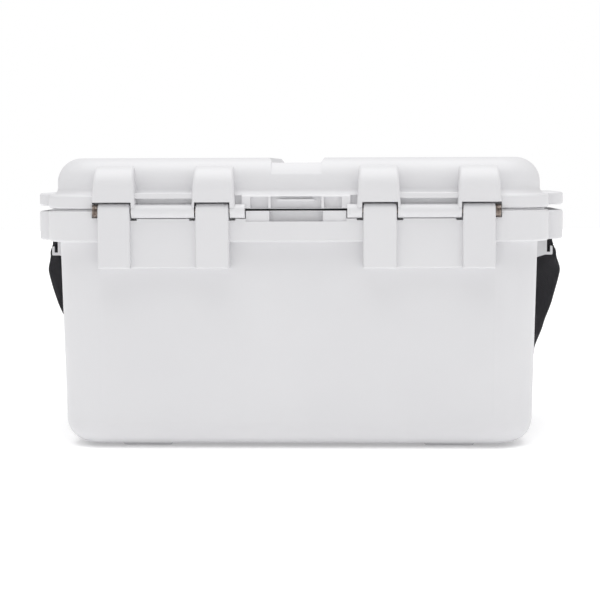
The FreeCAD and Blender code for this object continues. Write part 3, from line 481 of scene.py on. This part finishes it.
def on_strap(distance, across=0.0, out=0.0):
    """The frame at a distance along the strap, moved across and out."""
    travelled = 0.0
    for (first, *_), (second, tangent, side, face) in zip(STRAP_FRAMES, STRAP_FRAMES[1:]):
        step = (second - first).length
        if travelled + step >= distance:
            point = first.lerp(second, (distance - travelled) / step)
            return point + side * across + face * out, tangent, side, face
        travelled += step
    return STRAP_FRAMES[-1]


def join_rings(mesh, first, second):
    """Faces between two rings of vertices."""
    count = len(first)
    for k in range(count):
        after = (k + 1) % count
        mesh.faces.new([first[k], first[after], second[after], second[k]])


def stitch(mesh, start, end, normal, radius=0.00045):
    """One stitch of thick thread, slightly sunk at both ends."""
    along = end - start
    side = along.normalized().cross(normal).normalized()
    rings = []
    for share, size, lift in ((0.0, 0.4, -0.6), (0.2, 1.0, 0.3), (0.8, 1.0, 0.3), (1.0, 0.4, -0.6)):
        middle = start + along * share + normal * (radius * lift)
        ring = []
        for k in range(6):
            angle = k * math.pi / 3
            spoke = side * math.cos(angle) + normal * math.sin(angle)
            ring.append(mesh.verts.new(middle + spoke * radius * size))
        rings.append(ring)
    for first, second in zip(rings, rings[1:]):
        join_rings(mesh, first, second)
    mesh.faces.new(rings[0])
    mesh.faces.new(rings[-1])


def stitch_row(mesh, place_at, start, end, pitch=0.0028):
    """Stitches between two (along, across) places; place_at gives a place's point and normal."""
    length = math.dist(start, end)
    count = max(round(length / pitch), 1)
    for number in range(count):
        ends = []
        for share in ((number + 0.12) / count, (number + 0.88) / count):
            spot = [a + (b - a) * share for a, b in zip(start, end)]
            ends.append(place_at(*spot))
        stitch(mesh, ends[0][0], ends[1][0], ends[0][1])


def box_stitch(mesh, place_at, middle, half_along, half_across):
    """A sewn box with a cross in it."""
    signs = ((-1, -1), (1, -1), (1, 1), (-1, 1))
    corners = [(middle + a * half_along, b * half_across) for a, b in signs]
    for first, second in zip(corners, corners[1:] + corners[:1]):
        stitch_row(mesh, place_at, first, second)
    stitch_row(mesh, place_at, corners[0], corners[2])
    stitch_row(mesh, place_at, corners[1], corners[3])


def pin_loop(name, side):
    """The webbing's end: round the grip's pin and down behind the strap, where it is sewn to it."""
    low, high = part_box(f"strap_pin_{name}")
    centre = (Vector(low) + Vector(high)) / 2
    radius = PIN_RADIUS + WEBBING_THICKNESS / 2 + LOOP_GAP
    line = []
    for step in range(13):
        angle = math.radians(-10 + 200 * step / 12)
        line.append(centre + Vector((side * radius * math.cos(angle), 0, radius * math.sin(angle))))
    tail = [(-0.0032, -0.0060), (-0.0012, -0.0120), (-0.0002, -0.0180), (0.0003, -0.0250),
            (0.0003, -0.0330)]
    line += [centre + Vector((side * across, 0, up)) for across, up in tail]
    frames = []
    for index, point in enumerate(line):
        before, after = line[max(index - 1, 0)], line[min(index + 1, len(line) - 1)]
        tangent = (after - before).normalized()
        across = Vector((0, 1, 0))
        frames.append((point, tangent, across, across.cross(tangent).normalized()))
    loop = sweep_band(f"strap_loop_{name}", frames, WEBBING_WIDTH, LAYER_THICKNESS)
    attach(loop, "tub")
    return loop


def strap_tail(start, end):
    """The free end of the webbing, which lies on the strap beyond the slider."""
    count = 26
    above = WEBBING_THICKNESS + 0.0003
    frames = [on_strap(start + (end - start) * k / count, 0.0, above) for k in range(count + 1)]
    tail = sweep_band("strap_tail", frames, WEBBING_WIDTH - 0.0006, LAYER_THICKNESS)
    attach(tail, "tub")
    return tail


def slider(distance):
    """A three-bar slider: the webbing goes over its end bars and under its middle bar."""
    mesh = bmesh.new()
    point, along, across, out = on_strap(distance)
    turned = Matrix((along, across, out)).transposed()

    def bar(middle, half):
        made = bmesh.ops.create_cube(mesh, size=1.0)["verts"]
        for vertex in made:
            local = Vector(m + 2 * h * c for m, h, c in zip(middle, half, vertex.co))
            vertex.co = point + turned @ local

    for side in (-1, 1):
        bar((0, side * 0.0215, 0), (0.0125, 0.0022, 0.0034))
        bar((side * 0.0105, 0, -0.0031), (0.0022, 0.0205, 0.0016))
    bar((0, 0, 0.0046), (0.0026, 0.0205, 0.0014))
    piece = add_mesh("strap_slider_bars", mesh, BLACK_PLASTIC)
    bevel = piece.modifiers.new("edges", "BEVEL")
    bevel.width = 0.0009
    bevel.segments = 3
    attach(piece, "tub")
    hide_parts("strap_slider")
    return piece


# ---- shoulder pad ---------------------------------------------------------------------------

# The pad follows the webbing's bow. Its back and face are measured outward from the middle of the
# webbing.
PAD_BOW = 0.790
PAD_MIDDLE = Vector((0, 0.213, 0.031))
PAD_HALF_LENGTH = 0.138
PAD_HALF_WIDTH = 0.0285
PAD_BACK = -0.0112
PAD_FACE = -0.0022
PAD_CENTRE = (PAD_BACK + PAD_FACE) / 2
# The blank is cut a little smaller than the pad, and this thick each side of its middle.
BLANK_SCALE = 0.985
BLANK_HALF_THICKNESS = 0.0032
PAD_STATIONS = 40
PAD_RING = 24
# The sewn channels that run along the pad beside the webbing: how far out, how wide and how deep.
CHANNEL_AT = 0.0215
CHANNEL_WIDTH = 0.0016
CHANNEL_DEPTH = 0.0016
UNDER_WEBBING = 0.0205
# The binding tape: its half width across the pad's thickness, half its own thickness, and how far
# it is set in from the pad's edge and ends.
BINDING_HALF_WIDTH = 0.0033
BINDING_HALF_THICKNESS = 0.0013
BINDING_INSET = 0.0014
BINDING_END_INSET = 0.0034
BINDING_RING = 10
KEEPER_SPACING = 0.098


def bowed(along, out, up):
    """A point of the pad: along the strap, outward from the webbing's middle, and up."""
    angle, radius = along / PAD_BOW, PAD_BOW + out
    return PAD_MIDDLE + Vector((radius * math.sin(angle), radius * math.cos(angle) - PAD_BOW, up))


def pad_outline(along):
    """Half the pad's width at a place along it: straight, with round ends."""
    round_start = PAD_HALF_LENGTH - PAD_HALF_WIDTH
    beyond = max(abs(along) - round_start, 0) / PAD_HALF_WIDTH
    return PAD_HALF_WIDTH * (1 - 0.62 * beyond ** 2.6)


def pad_blank():
    """The pad before it swells, laid flat: X along, Y out and Z up."""
    mesh = bmesh.new()
    rings = []
    for station in range(PAD_STATIONS + 1):
        along = PAD_HALF_LENGTH * BLANK_SCALE * (2 * station / PAD_STATIONS - 1)
        half = pad_outline(along) * BLANK_SCALE
        ring = []
        for k in range(PAD_RING):
            angle = 2 * math.pi * k / PAD_RING
            up = half * math.copysign(abs(math.cos(angle)) ** 0.55, math.cos(angle))
            bulge = math.copysign(abs(math.sin(angle)) ** 0.7, math.sin(angle))
            out = BLANK_HALF_THICKNESS * bulge
            ring.append(mesh.verts.new((along, PAD_CENTRE + out, up)))
        rings.append(ring)
    for first, second in zip(rings, rings[1:]):
        join_rings(mesh, first, second)
    mesh.faces.new(rings[0])
    mesh.faces.new(rings[-1])
    return add_mesh("strap_pad", mesh, PAD_FABRIC)


def remesh(piece, voxel):
    """Replaces a piece's mesh with an even one."""
    modifier = piece.modifiers.new("even", "REMESH")
    modifier.mode = "VOXEL"
    modifier.voxel_size = voxel
    evaluated = piece.evaluated_get(bpy.context.evaluated_depsgraph_get())
    data = bpy.data.meshes.new_from_object(evaluated)
    piece.modifiers.clear()
    piece.data = data


def hold_rim(piece, depth):
    """Marks the vertices near the pad's edge, which its binding holds in place."""
    group = piece.vertex_groups.new(name="rim")
    held = []
    for vertex in piece.data.vertices:
        along, up = vertex.co.x, vertex.co.z
        if abs(up) > pad_outline(along) - depth or abs(along) > PAD_HALF_LENGTH - depth:
            held.append(vertex.index)
    group.add(held, 1.0, "REPLACE")
    return group.name


def swell(piece, rim, pressure, frames, cap):
    """Blows a closed piece up as cloth, no further than the cap, and keeps the result."""
    start = [vertex.co.copy() for vertex in piece.data.vertices]
    cloth = piece.modifiers.new("cloth", "CLOTH")
    cloth.settings.quality = 6
    cloth.settings.vertex_group_mass = rim
    cloth.settings.use_pressure = True
    cloth.settings.uniform_pressure_force = pressure
    cloth.settings.effector_weights.gravity = 0
    scene = bpy.context.scene
    for frame_number in range(1, frames + 1):
        scene.frame_set(frame_number)
    evaluated = piece.evaluated_get(bpy.context.evaluated_depsgraph_get())
    ends = [vertex.co.copy() for vertex in evaluated.data.vertices]
    piece.modifiers.remove(cloth)
    scene.frame_set(1)
    for vertex, before, after in zip(piece.data.vertices, start, ends):
        move = after - before
        if move.length > cap:
            move = move.normalized() * cap
        vertex.co = before + move


def shape_pad(piece):
    """Holds the swollen pad flat under the webbing, sews its two channels, and bows it."""
    for vertex in piece.data.vertices:
        along, out, up = vertex.co
        channel = math.exp(-(((abs(up) - CHANNEL_AT) / CHANNEL_WIDTH) ** 2))
        side = 1 if out > PAD_CENTRE else -1
        out -= side * CHANNEL_DEPTH * channel
        if abs(up) < UNDER_WEBBING:
            out = min(out, PAD_FACE)
        out = max(out, PAD_BACK)
        vertex.co = bowed(along, out, up)


def pad_edge():
    """The binding tape round the pad's edge."""
    mesh = bmesh.new()
    steps = 60
    outline = []
    for k in range(steps + 1):
        along = (PAD_HALF_LENGTH - BINDING_END_INSET) * math.sin(math.pi * (k / steps - 0.5))
        outline.append((along, pad_outline(along) - BINDING_INSET))
    outline += [(along, -half) for along, half in reversed(outline)]
    rings = []
    for k, (along, up) in enumerate(outline):
        before, after = outline[k - 1], outline[(k + 1) % len(outline)]
        run = Vector((after[0] - before[0], after[1] - before[1], 0)).normalized()
        ring = []
        for step in range(BINDING_RING):
            angle = 2 * math.pi * step / BINDING_RING
            outwards = BINDING_HALF_THICKNESS * math.cos(angle)
            thick = PAD_CENTRE + BINDING_HALF_WIDTH * math.sin(angle)
            spot = bowed(along + run.y * outwards, thick, up - run.x * outwards)
            ring.append(mesh.verts.new(spot))
        rings.append(ring)
    for first, second in zip(rings, rings[1:] + rings[:1]):
        join_rings(mesh, first, second)
    return add_mesh("strap_pad_binding", mesh, PAD_FABRIC)


def pad_keeper(name, along):
    """A band across the webbing that holds it to the pad."""
    half = [(0.0262, -0.0042), (0.0240, -0.0020), (0.0216, 0.0010), (0.0196, 0.0022),
            (0.0100, 0.0025)]
    path = [(-up, out) for up, out in half] + [(0.0, 0.0026)] + half[::-1]
    line = [bowed(along, out, up) for up, out in path]
    away = (bowed(along, 0.01, 0) - bowed(along, 0, 0)).normalized()
    keeper = sweep_band(name, frames_along(line, lambda point: away), 0.024, 0.0014)
    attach(keeper, "tub")
    return keeper


def add_pad():
    """The padded part of the strap with its binding, keepers and stitches."""
    pad = pad_blank()
    remesh(pad, voxel=0.0032)
    rim = hold_rim(pad, depth=0.0045)
    swell(pad, rim, pressure=4.0, frames=20, cap=0.005)
    shape_pad(pad)
    smooth = pad.modifiers.new("smooth", "SUBSURF")
    smooth.levels = smooth.render_levels = 1
    for polygon in pad.data.polygons:
        polygon.use_smooth = True
    pad.data.materials.clear()
    pad.data.materials.append(PAD_FABRIC)
    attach(pad, "tub")
    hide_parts("shoulder_pad")
    binding = pad_edge()
    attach(binding, "tub")
    keepers = [pad_keeper(f"pad_keeper_{number}", (number - 1) * KEEPER_SPACING)
               for number in range(3)]
    return [pad, binding, *keepers]


def add_stitches(length):
    """Sewn boxes under both grips and where the webbing is sewn to the ends of the pad."""
    mesh = bmesh.new()
    lift = WEBBING_THICKNESS / 2 + 0.0001

    def place_at(along, across):
        point, tangent, side, out = on_strap(along, across, lift)
        return point, out

    for middle in (GRIP_BOX_AT, length - GRIP_BOX_AT):
        box_stitch(mesh, place_at, middle, GRIP_BOX_HALF_LENGTH, BOX_HALF_WIDTH)
    for middle in (length / 2 - PAD_BOX_AT, length / 2 + PAD_BOX_AT):
        box_stitch(mesh, place_at, middle, PAD_BOX_HALF_LENGTH, BOX_HALF_WIDTH)
    stitches = add_mesh("strap_stitches", mesh, THREAD)
    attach(stitches, "tub")
    return stitches


strap_line = smooth_line(STRAP)
STRAP_FRAMES = frames_along(strap_line, outward)
STRAP_LENGTH = sum((second - first).length for first, second in zip(strap_line, strap_line[1:]))


def along_strap(place_at):
    """How far along the strap its nearest point to a place is."""
    travelled = 0.0
    nearest = (math.inf, 0.0)
    for first, second in zip(strap_line, strap_line[1:]):
        nearest = min(nearest, ((first - place_at).length, travelled))
        travelled += (second - first).length
    return nearest[1]


def add_strap():
    """The webbing of the strap, from one grip's pin to the other's, and the pieces on it."""
    strap = sweep_band("strap_band", STRAP_FRAMES, WEBBING_WIDTH, WEBBING_THICKNESS)
    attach(strap, "tub")
    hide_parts("shoulder_strap")
    low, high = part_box("strap_slider")
    slider_at = along_strap((Vector(low) + Vector(high)) / 2)
    pieces = add_pad()
    pieces.append(slider(slider_at))
    pieces.append(strap_tail(slider_at + TAIL_START, slider_at + TAIL_END))
    pieces.append(pin_loop("right", 1))
    pieces.append(pin_loop("left", -1))
    pieces.append(add_stitches(STRAP_LENGTH))
    tuple(MM * value for value in STRAP[0])
    [tuple(point) for point in strap_line]


add_strap()


# ---- floor and light ------------------------------------------------------------------------


def add_floor():
    """A plain pale floor, faintly lit from below like a light table."""
    data = bpy.data.meshes.new("floor")
    half = 6.0
    corners = [(-half, -half, 0), (half, -half, 0), (half, half, 0), (-half, half, 0)]
    data.from_pydata(corners, [], [(0, 1, 2, 3)])
    floor = bpy.data.objects.new("floor", data)
    bpy.context.collection.objects.link(floor)
    material, tree, shader = new_material("floor_paper")
    fibre = noise(tree, place(tree), 220.0, 3.0)
    paint(tree, shader, remap(tree, fibre, 0.0, 1.0), (0.985, 0.985, 0.985), (0.975, 0.975, 0.977))
    shader.inputs["Roughness"].default_value = 0.9
    shader.inputs["Emission Color"].default_value = (1, 1, 1, 1)
    shader.inputs["Emission Strength"].default_value = 0.17
    data.materials.append(material)


def aim(light, location, target):
    light.location = location
    light.rotation_euler = (Vector(target) - Vector(location)).to_track_quat("-Z", "Y").to_euler()
    bpy.context.collection.objects.link(light)


def add_sky(strength):
    """A broad, soft light from above, a little from the hinge side."""
    data = bpy.data.lights.new("sky", "SUN")
    data.energy = strength
    data.angle = math.radians(60)
    aim(bpy.data.objects.new("sky", data), (0, -0.15, 2.5), (0, 0, 0))


def add_world(strength):
    """A white studio: pure white behind the object, and dimmer as its light."""
    world = bpy.data.worlds.new("studio")
    world.use_nodes = True
    tree = world.node_tree
    background = tree.nodes["Background"]
    background.inputs["Color"].default_value = (1, 1, 1, 1)
    seen = tree.nodes.new("ShaderNodeLightPath").outputs["Is Camera Ray"]
    tree.links.new(remap(tree, seen, strength, 1.0, 0.0, 1.0), background.inputs["Strength"])
    bpy.context.scene.world = world


add_floor()
add_world(0.58)
add_sky(1.85)
bpy.context.scene.view_settings.view_transform = "Standard"
